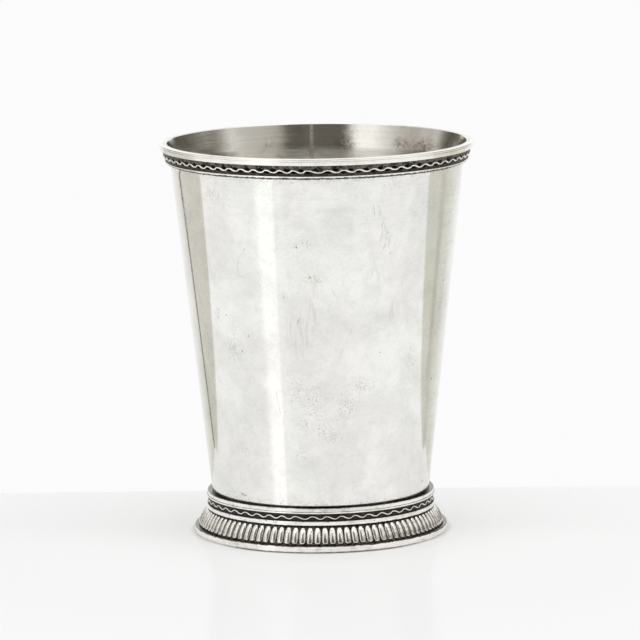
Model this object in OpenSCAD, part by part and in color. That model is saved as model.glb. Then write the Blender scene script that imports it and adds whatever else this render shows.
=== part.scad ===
// Julep cup of sheet and drawn strip: a tapering body, a waved rim and a lobed, spreading foot.
// All sizes are in millimetres. The origin is the centre of the base on the table, and +Z is up.

/* [Body] */
// Height of the whole cup, from the table to the lip
cup_h = 98; // [80:0.5:120]
// Inside diameter of the mouth, at the lip
mouth_d = 74.6; // [68:0.2:84]
// How far the wall turns out from the neck, below the rim strips, to the lip
flare_out = 1.7; // [0.8:0.05:2.2]
// Outside diameter of the body where it leaves the foot
waist_d = 54.4; // [46:0.2:62]
// Thickness of the body's sheet
wall_t = 0.8; // [0.5:0.05:1.2]
// Thickness of the disc let into the bottom of the body
bottom_t = 0.9; // [0.5:0.05:1.6]
// Height of the turned-out wall that shows below the rim strips
flare_lead = 0.47; // [0.2:0.01:1.5]

/* [Rim strips] */
// Height of the moulding round the lip
rim_moulding_h = 1.65; // [1.3:0.05:2.4]
// How far the bead along the lip stands out from the wall
lip_bead_out = 1.1; // [0.8:0.05:1.5]
// Diameter of the bead along the lip
lip_bead_d = 0.5; // [0.3:0.05:0.7]
// Height of the rim band
rim_band_h = 2.68; // [2:0.02:4]
// Thickness of the rim band along its upper edge
rim_band_top_t = 0.73; // [0.5:0.01:1]
// Thickness of the rim band along its lower edge
rim_band_low_t = 0.99; // [0.6:0.01:1.2]
// Diameter of the round nose on the bead under the rim band
rim_bead_d = 0.48; // [0.3:0.02:0.8]

/* [Rim wave] */
// Number of waves round the rim
rim_waves = 66; // [40:1:80]
// Height from a trough to a crest of the wire's centre line
rim_wave_swing = 0.92; // [0.5:0.02:1.2]
// How far the wave lies below the middle of the rim band
rim_wave_drop = 0.24; // [0:0.02:0.3]
// Width of the wire
rim_wire_w = 0.4; // [0.2:0.02:0.5]
// How far the wire stands out from the band
rim_wire_h = 0.24; // [0.1:0.02:0.4]

/* [Foot strips] */
// Height of the upper moulding of the foot
foot_upper_h = 1.3; // [1:0.02:2]
// Radius of the upper moulding's rounded shoulder
foot_upper_round = 0.5; // [0.2:0.02:0.6]
// Diameter of the bead along the upper moulding's lower edge
foot_bead_d = 0.36; // [0.2:0.02:0.5]
// Height of the foot band
foot_band_h = 1.89; // [1.6:0.01:3]
// How far the foot band stands out from the waist
foot_band_out = 1; // [0.6:0.02:1.6]
// Height of the lower moulding of the foot
foot_lower_h = 1.02; // [0.7:0.02:1.6]
// Radius of the lower moulding's rounded edges
foot_lower_round = 0.28; // [0.1:0.02:0.34]
// How far both mouldings stand out from the foot band
foot_moulding_out = 0.38; // [0.2:0.02:0.6]

/* [Foot wave] */
// Number of waves round the foot
foot_waves = 48; // [30:1:60]
// Height from a trough to a crest of the wire's centre line
foot_wave_swing = 0.85; // [0.4:0.01:1]
// How far the wave lies below the middle of the foot band
foot_wave_drop = 0.1; // [0:0.01:0.14]
// Width of the wire
foot_wire_w = 0.28; // [0.16:0.02:0.36]
// How far the wire stands out from the band
foot_wire_h = 0.2; // [0.1:0.02:0.3]

/* [Skirt] */
// Height of the skirt, from the base flange to the lower moulding
skirt_h = 4.56; // [3.6:0.02:7]
// How far the skirt's upper edge is set back from the face of the foot band
skirt_setback = 0.26; // [0.1:0.02:0.6]
// How much farther out the skirt reaches at its lower edge than at its upper edge
skirt_spread = 2.7; // [1.5:0.05:5]
// Thickness of the skirt's sheet between the lobes
skirt_t = 0.9; // [0.6:0.05:1.2]
// Width of the collar turned in under the body
collar_w = 3; // [2.2:0.05:6]
// Number of lobes round the skirt
lobes = 100; // [60:1:110]
// How far a lobe stands out from the skirt
lobe_stand = 0.55; // [0.3:0.01:0.8]
// Height over which the ends of a lobe are rounded off
lobe_round = 0.8; // [0.4:0.02:1.2]
// Plain height above the lobes
lobe_clear_top = 0.43; // [0.2:0.01:0.5]
// Plain height below the lobes
lobe_clear_low = 0.38; // [0.1:0.01:0.5]

/* [Base] */
// Height of the base flange
flange_h = 1.63; // [1:0.01:3]
// How far the base flange stands out from the skirt's lower edge
flange_out = 1.06; // [0.7:0.02:2]
// Width of the ring that the cup rests on
flange_w = 2.5; // [2.2:0.05:5]
// How far the flange's upper edge is set back from its lower edge
flange_lean = 0.2; // [0:0.02:0.3]
// Radius of the flange's rounded edges
flange_round = 0.2; // [0.1:0.02:0.3]

/* [Hidden] */
$fn = 96;

// Film of solder between a waved wire and its band
solder_t = 0.01;
// Rings along one wave of a wire, and points across its half-round section
wire_rings = 8;
wire_points = 6;
// Angle by which a wave's crest comes early and its trough late, so that it climbs steeply and falls gently
wave_lean = 12;
// How much the wire thins on the climb and thickens on the fall
wire_swell_share = 0.2;
// Whole number of lobes
lobe_count = round(lobes);
// Columns of points across a lobe, from the groove on one side, as shares of its half width
lobe_across_shares = [-1, -0.8, -0.4, 0, 0.4, 0.8];
// Where the middle row of points crosses a lobe's round end
lobe_end_share = 0.7;

// Heights of the seats, from the table up
body_z = flange_h + skirt_h;
foot_band_z = body_z + foot_lower_h;
foot_upper_z = foot_band_z + foot_band_h;
waist_z = foot_upper_z + foot_upper_h;

// Heights of the rim strips, from the lip down
rim_moulding_z = cup_h - rim_moulding_h;
rim_band_z = rim_moulding_z - rim_band_h;
rim_bead_z = rim_band_z - rim_bead_d;
neck_z = rim_bead_z - flare_lead;

// Radii
waist_r = waist_d / 2;
lip_r = mouth_d / 2 + wall_t;
neck_r = lip_r - flare_out;
foot_band_r = waist_r + foot_band_out;
moulding_r = foot_band_r + foot_moulding_out;
skirt_top_r = foot_band_r - skirt_setback;
skirt_low_r = skirt_top_r + skirt_spread;
flange_r = skirt_low_r + flange_out;

// Radius at height z on the straight line from [r0, z0] to [r1, z1]
function line_r(z, r0, z0, r1, z1) = r0 + (z - z0) * (r1 - r0) / (z1 - z0);

// Outer radius of the wall at height z: a cone from the foot to the neck, and a wider one above it
function wall_r(z) = z < neck_z ? line_r(z, waist_r, waist_z, neck_r, neck_z)
  : line_r(z, neck_r, neck_z, lip_r, cup_h);

// Outer radii of the rim band along its edges
rim_band_top_r = wall_r(rim_moulding_z) + rim_band_top_t;
rim_band_low_r = wall_r(rim_band_z) + rim_band_low_t;

// Ring whose inner face lies on the wall between two heights, with its outer face at the given radii
module wall_ring_section(low_z, top_z, low_r, top_r) {
  polygon([[wall_r(low_z), low_z], [low_r, low_z], [top_r, top_z], [wall_r(top_z), top_z]]);
}

// Round nose of a moulding: the outer half of a circle centred at radius r and height z
module nose(r, z, d) {
  translate([r, z]) intersection() {
    circle(d = d);
    translate([0, -d / 2]) square(d);
  }
}

// Height, slope and width along one wave, at a phase in degrees
function wave_lift(phase) = sin(phase + wave_lean * sin(phase));
function wave_slope(phase) = cos(phase + wave_lean * sin(phase)) * (1 + wave_lean * PI / 180 * cos(phase));
function wire_swell(phase) = 1 - wire_swell_share * cos(phase);

// Point on a wire, drawn on the unrolled band: [distance round the band, height, height off the band]
function wire_point(arc, mid_z, swing, pitch, w, h, phase, side) =
  let (
    rise = swing / 2 * wave_slope(phase) * 2 * PI / pitch,
    run = sqrt(1 + rise * rise),
    across = w / 2 * wire_swell(phase) * cos(side),
    off = h * sin(side)
  )
  [arc - across * rise / run, mid_z + swing / 2 * wave_lift(phase) + across / run, off];

// Closed half-round wire that waves round a band, bent to the band's own radii at its foot and its top
module waved_wire(waves, mid_z, swing, w, h, low_r, low_z, top_r, top_z) {
  mid_r = line_r(mid_z, low_r, low_z, top_r, top_z);
  rings = round(waves) * wire_rings;
  pitch = 2 * PI * mid_r / round(waves);
  points = [
    for (i = [0 : rings - 1], k = [0 : wire_points - 1])
      let (
        p = wire_point(pitch * i / wire_rings, mid_z, swing, pitch, w, h,
          360 * i / wire_rings, 180 * k / (wire_points - 1)),
        turn = 360 * p[0] / (2 * PI * mid_r),
        r = line_r(p[1], low_r, low_z, top_r, top_z) + solder_t + p[2]
      )
      [r * cos(turn), r * sin(turn), p[1]]
  ];
  faces = [
    for (i = [0 : rings - 1], k = [0 : wire_points - 1])
      let (
        a = i * wire_points + k,
        b = i * wire_points + (k + 1) % wire_points,
        c = (i + 1) % rings * wire_points + (k + 1) % wire_points,
        d = (i + 1) % rings * wire_points + k
      )
      each [[a, c, b], [a, d, c]]
  ];
  polyhedron(points, faces);
}

module body_wall() {
  color("gainsboro") rotate_extrude() polygon([
    [wall_r(body_z) - wall_t, body_z],
    [wall_r(body_z), body_z],
    [neck_r, neck_z],
    [lip_r, cup_h],
    [lip_r - wall_t, cup_h],
    [neck_r - wall_t, neck_z]
  ]);
}

module bottom_disc() {
  color("silver") rotate_extrude() polygon([
    [0, body_z],
    [wall_r(body_z) - wall_t, body_z],
    [wall_r(body_z + bottom_t) - wall_t, body_z + bottom_t],
    [0, body_z + bottom_t]
  ]);
}

module rim_moulding() {
  round_d = rim_moulding_h - lip_bead_d;
  bead_r = lip_r + lip_bead_out - lip_bead_d / 2;
  color("whitesmoke") rotate_extrude() {
    polygon([
      [wall_r(rim_moulding_z), rim_moulding_z],
      [rim_band_top_r, rim_moulding_z],
      [rim_band_top_r, cup_h - lip_bead_d],
      [bead_r, cup_h - lip_bead_d],
      [bead_r, cup_h],
      [lip_r, cup_h]
    ]);
    nose(rim_band_top_r, rim_moulding_z + round_d / 2, round_d);
    nose(bead_r, cup_h - lip_bead_d / 2, lip_bead_d);
  }
}

module rim_band() {
  color("dimgray") rotate_extrude()
    wall_ring_section(rim_band_z, rim_moulding_z, rim_band_low_r, rim_band_top_r);
}

module rim_wave_wire() {
  color("white") waved_wire(rim_waves, (rim_band_z + rim_moulding_z) / 2 - rim_wave_drop, rim_wave_swing,
    rim_wire_w, rim_wire_h, rim_band_low_r, rim_band_z, rim_band_top_r, rim_moulding_z);
}

module rim_bead() {
  nose_r = rim_band_low_r - rim_bead_d / 2;
  color("whitesmoke") rotate_extrude() {
    wall_ring_section(rim_bead_z, rim_band_z, nose_r, nose_r);
    nose(nose_r, rim_bead_z + rim_bead_d / 2, rim_bead_d);
  }
}

module foot_upper_moulding() {
  bead_r = moulding_r - foot_bead_d / 2;
  shoulder_r = bead_r - foot_upper_round;
  color("silver") rotate_extrude() {
    wall_ring_section(foot_upper_z, waist_z, shoulder_r, shoulder_r);
    wall_ring_section(foot_upper_z, waist_z - foot_upper_round, bead_r, bead_r);
    nose(shoulder_r, waist_z - foot_upper_round, 2 * foot_upper_round);
    nose(bead_r, foot_upper_z + foot_bead_d / 2, foot_bead_d);
  }
}

module foot_band() {
  color("dimgray") rotate_extrude()
    wall_ring_section(foot_band_z, foot_upper_z, foot_band_r, foot_band_r);
}

module foot_wave_wire() {
  color("white") waved_wire(foot_waves, (foot_band_z + foot_upper_z) / 2 - foot_wave_drop, foot_wave_swing,
    foot_wire_w, foot_wire_h, foot_band_r, foot_band_z, foot_band_r, foot_upper_z);
}

module foot_lower_moulding() {
  edge_r = moulding_r - foot_lower_round;
  color("silver") rotate_extrude() {
    wall_ring_section(body_z, foot_band_z, edge_r, edge_r);
    wall_ring_section(body_z + foot_lower_round, foot_band_z - foot_lower_round, moulding_r, moulding_r);
    nose(edge_r, body_z + foot_lower_round, 2 * foot_lower_round);
    nose(edge_r, foot_band_z - foot_lower_round, 2 * foot_lower_round);
  }
}

// Radius of the skirt's slope, under the lobes, at height z
function skirt_r(z) = line_r(z, skirt_low_r, flange_h, skirt_top_r, body_z);

// A lobe is a half egg: how far it stands out, at a share of its half width and of its round end
function lobe_lift(across_share, end_share) =
  lobe_stand * sqrt(max(0, 1 - pow(across_share, 2) - pow(end_share, 2)));

// Rings of points round the skirt's section, up the outside and down the inside: [height, radius, end share].
// Rings that cross the lobes have an end share, and the others lie along the grooves alone.
function skirt_rings() =
  let (
    low_z = flange_h + lobe_clear_low,
    top_z = body_z - lobe_clear_top,
    soft_z = lobe_round * (1 - lobe_end_share),
    heights = [low_z, low_z + soft_z, low_z + lobe_round, top_z - lobe_round, top_z - soft_z, top_z],
    end_shares = [1, lobe_end_share, 0, 0, lobe_end_share, 1],
    under_z = body_z - skirt_t,
    inner_t = skirt_t * sqrt(1 + pow(skirt_spread / skirt_h, 2)),
    collar_r = skirt_top_r - collar_w
  )
  [
    [flange_h, skirt_low_r],
    for (j = [0 : len(heights) - 1]) [heights[j], skirt_r(heights[j]), end_shares[j]],
    [body_z, skirt_top_r],
    [body_z, collar_r],
    [under_z, collar_r],
    [under_z, skirt_r(under_z) - inner_t],
    [flange_h, skirt_low_r - inner_t]
  ];

// Points of a ring to each lobe: all its columns, or one
function ring_step(ring) = len(ring) == 3 ? len(lobe_across_shares) : 1;

function ring_points(ring) = [
  for (i = [0 : lobe_count - 1], j = [0 : ring_step(ring) - 1])
    let (
      share = lobe_across_shares[j],
      turn = 180 / lobe_count * (2 * i + 1 + share),
      r = ring[1] + (len(ring) == 3 ? lobe_lift(share, ring[2]) / cos(atan2(skirt_spread, skirt_h)) : 0)
    )
    [r * cos(turn), r * sin(turn), ring[0]]
];

// Faces between a ring of a points to each lobe, from index m, and the next ring, of b points, from index n
function ring_faces(m, a, n, b) = [
  for (i = [0 : lobe_count - 1])
    let (
      next_m = m + (i + 1) * a % (lobe_count * a),
      next_n = n + (i + 1) * b % (lobe_count * b),
      first = [for (j = [0 : a - 1]) m + i * a + j],
      second = [for (j = [0 : b - 1]) n + i * b + j],
      low = concat(first, [next_m]),
      top = concat(second, [next_n]),
      half = floor(max(a, b) / 2)
    )
    each a == b ? [
        for (j = [0 : a - 1])
          each [[low[j], top[j], top[j + 1]], [low[j], top[j + 1], low[j + 1]]]
      ]
      : a > b ? concat(
          [for (j = [0 : half - 1]) [low[j], top[0], low[j + 1]]],
          [[low[half], top[0], top[1]]],
          [for (j = [half : a - 1]) [low[j], top[1], low[j + 1]]])
      : concat(
          [for (j = [0 : half - 1]) [low[0], top[j], top[j + 1]]],
          [[low[0], top[half], low[1]]],
          [for (j = [half : b - 1]) [low[1], top[j], top[j + 1]]])
];

module fluted_skirt() {
  rings = skirt_rings();
  steps = [for (ring = rings) ring_step(ring)];
  starts = [for (j = 0, n = 0; j < len(rings); n = n + steps[j] * lobe_count, j = j + 1) n];
  points = [for (ring = rings) each ring_points(ring)];
  faces = [
    for (j = [0 : len(rings) - 1])
      let (k = (j + 1) % len(rings))
      each ring_faces(starts[j], steps[j], starts[k], steps[k])
  ];
  color("lightgray") polyhedron(points, faces);
}

module base_flange() {
  inner_r = flange_r - flange_w;
  top_r = flange_r - flange_lean;
  color("silver") rotate_extrude() {
    polygon([
      [inner_r, 0],
      [flange_r - flange_round, 0],
      [flange_r, flange_round],
      [top_r, flange_h - flange_round],
      [top_r - flange_round, flange_h],
      [inner_r, flange_h]
    ]);
    nose(flange_r - flange_round, flange_round, 2 * flange_round);
    nose(top_r - flange_round, flange_h - flange_round, 2 * flange_round);
  }
}

body_wall();
bottom_disc();
rim_moulding();
rim_band();
rim_wave_wire();
rim_bead();
foot_upper_moulding();
foot_band();
foot_wave_wire();
foot_lower_moulding();
fluted_skirt();
base_flange();
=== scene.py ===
"""Dresses the julep cup: a tapering silver body, a waved rim and a lobed, spreading foot.

Everything is in metres in the cup's own frame: the origin is the centre of the base on the table, +Z is up,
and -Y faces the camera. Sizes that are written in millimetres are multiplied by MM.
"""

import math  # noqa: E402

import bpy  # noqa: E402
import numpy as np  # noqa: E402
from mathutils import Matrix, Vector  # noqa: E402


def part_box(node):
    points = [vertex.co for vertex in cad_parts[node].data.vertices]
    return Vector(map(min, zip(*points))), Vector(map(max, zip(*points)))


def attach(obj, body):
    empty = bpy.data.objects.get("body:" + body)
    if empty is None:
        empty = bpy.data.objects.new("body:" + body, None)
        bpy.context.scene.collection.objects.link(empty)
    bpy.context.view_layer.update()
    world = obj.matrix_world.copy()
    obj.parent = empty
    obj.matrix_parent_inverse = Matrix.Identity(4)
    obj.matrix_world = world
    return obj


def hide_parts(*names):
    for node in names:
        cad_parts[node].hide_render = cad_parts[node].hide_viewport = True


bl_info = {
    "name": "Julep Cup",
    "version": (1, 0, 0),
    "blender": (4, 5, 0),
    "location": "3D View > Sidebar > Julep Cup",
    "description": "Builds a silver julep cup with a waved rim and a lobed foot",
    "category": "Object",
}

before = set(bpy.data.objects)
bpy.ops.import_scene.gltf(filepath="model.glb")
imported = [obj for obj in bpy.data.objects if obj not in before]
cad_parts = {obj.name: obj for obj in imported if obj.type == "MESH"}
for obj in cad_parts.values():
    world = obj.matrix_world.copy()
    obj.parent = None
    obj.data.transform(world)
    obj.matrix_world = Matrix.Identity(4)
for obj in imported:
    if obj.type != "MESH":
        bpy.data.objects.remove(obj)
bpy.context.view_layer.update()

MM = 0.001
TURN = 2 * math.pi


def low_z(node):
    """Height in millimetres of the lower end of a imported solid."""
    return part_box(node)[0].z / MM


def top_z(node):
    """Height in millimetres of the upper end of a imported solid."""
    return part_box(node)[1].z / MM


def reach(node):
    """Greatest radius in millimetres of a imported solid."""
    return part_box(node)[1].x / MM


# Heights in millimetres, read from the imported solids
LIP_Z = top_z("body_wall")
BODY_Z = low_z("body_wall")
FLOOR_Z = top_z("bottom_disc")
RIM_MOULDING_Z = low_z("rim_moulding")
RIM_BAND_Z = low_z("rim_band")
RIM_BEAD_Z = low_z("rim_bead")
FOOT_UPPER_Z = low_z("foot_upper_moulding")
WAIST_Z = top_z("foot_upper_moulding")
FOOT_BAND_Z = low_z("foot_band")
SKIRT_Z = low_z("fluted_skirt")
SKIRT_TOP_Z = top_z("fluted_skirt")
# Middles of the two waved wires
RIM_WAVE_Z = RIM_BAND_Z + 1.25
FOOT_WAVE_Z = (FOOT_BAND_Z + FOOT_UPPER_Z) / 2 - 0.1
# Where the oxide in the corners under the rim and over the foot is thick
RIM_OXIDE_Z = RIM_BEAD_Z - 0.33
FOOT_OXIDE_Z = WAIST_Z + 0.16

# Radii in millimetres that the strips and the skirt are turned to, within 0.15 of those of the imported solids
LIP_BEAD_R = 39.2
RIM_BAND_LOW_R, RIM_BAND_TOP_R = 37.7, 38.3
FOOT_STRIP_R = 28.58
FOOT_BAND_R = 28.2
SKIRT_TOP_R, SKIRT_LOW_R = 27.94, 30.64
COLLAR_BORE_R = 24.94
SKIRT_SHEET = 0.9
FLANGE_R, FLANGE_TOP_R, FLANGE_BORE_R = 31.68, 31.64, 29.2
# Radii of corner roundings: an edge that reads as sharp, and one that a file has eased
SHARP, EASED = 0.03, 0.05


class CupSizes(bpy.types.PropertyGroup):
    """Sizes that a user would change"""

    segments: bpy.props.IntProperty(
        name="Segments", description="Steps round each turned piece", default=384, min=96)
    lip_r: bpy.props.FloatProperty(
        name="Lip radius", description="Outer radius of the wall at the lip",
        default=reach("body_wall") * MM, unit="LENGTH", precision=5)
    neck_r: bpy.props.FloatProperty(
        name="Neck radius", description="Outer radius of the wall where it turns out", default=36.4 * MM,
        unit="LENGTH", precision=5)
    neck_z: bpy.props.FloatProperty(
        name="Neck height", description="Height at which the wall turns out", default=92.72 * MM,
        unit="LENGTH", precision=5)
    waist_r: bpy.props.FloatProperty(
        name="Waist radius", description="Outer radius of the wall above the foot", default=27.2 * MM,
        unit="LENGTH", precision=5)
    wall_t: bpy.props.FloatProperty(
        name="Wall", description="Thickness of the wall", default=0.8 * MM, unit="LENGTH", precision=5)
    rim_waves: bpy.props.IntProperty(
        name="Rim waves", description="Number of waves round the rim", default=66)
    rim_swing: bpy.props.FloatProperty(
        name="Rim swing", description="Height from trough to crest of the rim wave", default=0.54 * MM,
        unit="LENGTH", precision=5)
    foot_waves: bpy.props.IntProperty(
        name="Foot waves", description="Number of waves round the foot", default=48)
    foot_swing: bpy.props.FloatProperty(
        name="Foot swing", description="Height from trough to crest of the foot wave", default=0.60 * MM,
        unit="LENGTH", precision=5)
    lobes: bpy.props.IntProperty(name="Lobes", description="Number of lobes round the skirt", default=100)
    lobe_stand: bpy.props.FloatProperty(
        name="Lobe stand", description="How far a lobe stands out from the skirt", default=0.54 * MM,
        unit="LENGTH", precision=5)


class CupFinish(bpy.types.PropertyGroup):
    """Colours and wear that a user would change"""

    silver: bpy.props.FloatVectorProperty(
        name="Silver", description="Colour of the clean metal", subtype="COLOR",
        default=(0.93, 0.925, 0.895))
    strip_silver: bpy.props.FloatVectorProperty(
        name="Strip silver", description="Colour of the drawn strips", subtype="COLOR",
        default=(0.99, 0.965, 0.918))
    oxide: bpy.props.FloatVectorProperty(
        name="Oxide", description="Colour of the darkened recesses", subtype="COLOR",
        default=(0.022, 0.019, 0.016))
    tarnish: bpy.props.FloatVectorProperty(
        name="Tarnish", description="Colour of specks and stains", subtype="COLOR",
        default=(0.30, 0.27, 0.22))
    thin_oxide: bpy.props.FloatVectorProperty(
        name="Thin oxide", description="Colour of oxide that has been rubbed", subtype="COLOR",
        default=(0.17, 0.157, 0.128))
    body_roughness: bpy.props.FloatProperty(
        name="Body roughness", description="Roughness of the outside of the body", subtype="FACTOR",
        default=0.09)
    inside_roughness: bpy.props.FloatProperty(
        name="Inside roughness", description="Roughness of the turned inside", subtype="FACTOR",
        default=0.10)


class StudioSettings(bpy.types.PropertyGroup):
    """The table, the light and the camera"""

    table: bpy.props.FloatVectorProperty(
        name="Table", description="Colour of the table", subtype="COLOR", default=(0.93, 0.93, 0.93))
    edge_y: bpy.props.FloatProperty(
        name="Back edge", description="How far behind the cup the table ends", default=51 * MM,
        unit="LENGTH")
    fill: bpy.props.FloatProperty(name="Fill", description="Strength of the even light", default=1.0)
    lens: bpy.props.FloatProperty(name="Lens", description="Focal length", default=270.9, unit="CAMERA")


# Meshes


def line_r(z, r0, z0, r1, z1):
    """Radius at height z on the straight line from (r0, z0) to (r1, z1)."""
    return r0 + (z - z0) * (r1 - r0) / (z1 - z0)


def cup_sizes():
    return bpy.context.scene.julep_sizes


def cup_finish():
    return bpy.context.scene.julep_finish


def wall_r(z):
    """Outer radius of the wall in millimetres at a height in millimetres."""
    s = cup_sizes()
    neck_r, neck_z, lip_r, waist_r = s.neck_r / MM, s.neck_z / MM, s.lip_r / MM, s.waist_r / MM
    if z < neck_z:
        return line_r(z, waist_r, WAIST_Z, neck_r, neck_z)
    return line_r(z, neck_r, neck_z, lip_r, LIP_Z)


def rounded_outline(corners, longest=2.5):
    """The points and normals of a closed outline from (r, z, radius) corners, counter-clockwise and rounded.

    A corner at r = 0 lies on the axis and is kept sharp. Straight runs are cut into steps no longer than
    the longest.
    """
    n = len(corners)
    p = np.array([c[:2] for c in corners], float)
    arcs = []
    for i in range(n):
        a, b, c = p[i - 1], p[i], p[(i + 1) % n]
        u, v = (b - a) / np.linalg.norm(b - a), (c - b) / np.linalg.norm(c - b)
        turn = math.atan2(u[0] * v[1] - u[1] * v[0], u @ v)
        first = math.atan2(-u[0], u[1])
        last = first + turn
        if b[0] == 0:
            arcs.append([(b, first if c[0] == 0 else last)])
            continue
        rounding = corners[i][2]
        start = b - u * rounding * math.tan(abs(turn) / 2)
        side = 1 if turn > 0 else -1
        centre = start + side * rounding * np.array([-u[1], u[0]])
        steps = max(3, int(math.degrees(abs(turn)) / 9))
        arcs.append([
            (centre + side * rounding * np.array([math.cos(x), math.sin(x)]), x)
            for x in np.linspace(first, last, steps + 1)
        ])
    points, normals = [], []
    for i in range(n):
        for point, facing in arcs[i]:
            if points and np.linalg.norm(point - points[-1]) < 1e-6:
                continue
            points.append(point)
            normals.append((math.cos(facing), math.sin(facing)))
        a, b = arcs[i][-1][0], arcs[(i + 1) % n][0][0]
        if a[0] == 0 and b[0] == 0:
            continue
        run = b - a
        length = np.linalg.norm(run)
        cuts = int(length / longest)
        for k in range(1, cuts + 1):
            points.append(a + run * k / (cuts + 1))
            normals.append((run[1] / length, -run[0] / length))
    if np.linalg.norm(points[0] - points[-1]) < 1e-6:
        points.pop()
        normals.pop()
    return np.array(points), np.array(normals)


def add_object(name, vertices, faces, normals=None, materials=()):
    """A smooth-shaded mesh object at the origin."""
    mesh = bpy.data.meshes.new(name)
    mesh.from_pydata(vertices.tolist(), [], faces)
    for material in materials:
        mesh.materials.append(material)
    mesh.polygons.foreach_set("use_smooth", [True] * len(mesh.polygons))
    if normals is not None:
        mesh.normals_split_custom_set_from_vertices(normals.tolist())
    mesh.validate()
    mesh.update()
    piece = bpy.data.objects.new(name, mesh)
    bpy.context.scene.collection.objects.link(piece)
    return piece


def turned(name, corners, materials, longest=2.5):
    """A closed solid of revolution from an outline in millimetres."""
    points, normals = rounded_outline(corners, longest)
    around = cup_sizes().segments
    turns = np.arange(around) * TURN / around
    cos, sin, one = np.cos(turns)[:, None], np.sin(turns)[:, None], np.ones((around, 1))

    def swept(pairs):
        return np.stack([cos * pairs[:, 0], sin * pairs[:, 0], one * pairs[:, 1]], -1).reshape(-1, 3)

    vertices, directions = swept(points) * MM, swept(normals)
    count = len(points)
    on_axis = [i for i, point in enumerate(points) if point[0] < 1e-9]
    ids = np.arange(around * count).reshape(around, count)
    for i in on_axis:  # one vertex for each pole
        ids[:, i] = ids[0, i]
        directions[ids[0, i]] = (0, 0, math.copysign(1, points[i][1] - points[:, 1].mean()))
    faces = []
    for j in range(count):
        k = (j + 1) % count
        if j in on_axis and k in on_axis:
            continue
        for i in range(around):
            m = (i + 1) % around
            quad = [ids[i, j], ids[m, j], ids[m, k], ids[i, k]]
            faces.append([int(v) for n, v in enumerate(quad) if v != quad[n - 1]])
    used = np.unique(ids)
    place = {int(v): n for n, v in enumerate(used)}
    faces = [[place[v] for v in face] for face in faces]
    return add_object(name, vertices[used], faces, directions[used], materials)


def finish_piece(piece, node=None):
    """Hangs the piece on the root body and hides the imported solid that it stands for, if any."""
    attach(piece, "root")
    if node:
        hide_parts(node)


# Node trees


class Tree:
    """Adds nodes to a shader or geometry tree and joins them in one call."""

    def __init__(self, tree):
        self.nodes, self.links = tree.nodes, tree.links

    def put(self, value, socket):
        if isinstance(value, bpy.types.NodeSocket):
            self.links.new(value, socket)
        else:
            socket.default_value = value

    def node(self, kind, inputs=None, **settings):
        node = self.nodes.new(kind)
        for key, value in settings.items():
            setattr(node, key, value)
        for key, value in (inputs or {}).items():
            self.put(value, node.inputs[key])
        return node

    def math(self, operation, a, b=None):
        inputs = {0: a} if b is None else {0: a, 1: b}
        return self.node("ShaderNodeMath", inputs, operation=operation).outputs[0]

    def add(self, a, b):
        return self.math("ADD", a, b)

    def sub(self, a, b):
        return self.math("SUBTRACT", a, b)

    def mul(self, a, b):
        return self.math("MULTIPLY", a, b)

    def away(self, x, centre):
        """Distance of x from a centre."""
        return self.math("ABSOLUTE", self.sub(x, centre))

    def far(self, x, y):
        """Length of (x, y)."""
        return self.math("SQRT", self.add(self.mul(x, x), self.mul(y, y)))

    def direction(self, x, y):
        """Degrees of (x, y) from the front, + to the right."""
        return self.math("DEGREES", self.math("ARCTAN2", x, self.mul(y, -1.0)))

    def ramp(self, x, start, end, low=0.0, high=1.0, smooth=True):
        """low before start, high past end, and a smooth change between."""
        inputs = {"Value": x, "From Min": start, "From Max": end, "To Min": low, "To Max": high}
        kind = "SMOOTHSTEP" if smooth else "LINEAR"
        return self.node("ShaderNodeMapRange", inputs, interpolation_type=kind, clamp=True).outputs[0]

    def bump_at(self, x, centre, half):
        """1 at centre, falling to 0 at half a width from it."""
        return self.ramp(self.away(x, centre), 0.0, half, 1.0, 0.0)

    def mix(self, factor, a, b, blend="MIX"):
        node = self.node("ShaderNodeMix", {0: factor}, data_type="RGBA", blend_type=blend)
        for value, socket in ((a, node.inputs[6]), (b, node.inputs[7])):
            self.put((*value, 1.0) if isinstance(value, tuple) and len(value) == 3 else value, socket)
        return node.outputs[2]

    def noise(self, vector, scale, detail=3.0, roughness=0.5, distortion=0.0):
        inputs = {"Vector": vector, "Scale": scale, "Detail": detail, "Roughness": roughness,
                  "Distortion": distortion}
        return self.node("ShaderNodeTexNoise", inputs).outputs["Fac"]

    def stretched(self, vector, x, y, z):
        return self.node("ShaderNodeVectorMath", {0: vector, 1: (x, y, z)}, operation="MULTIPLY").outputs[0]

    def bump(self, height):
        """Normals bumped by a height in millimetres."""
        return self.node("ShaderNodeBump", {"Height": height, "Distance": MM}).outputs[0]


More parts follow.
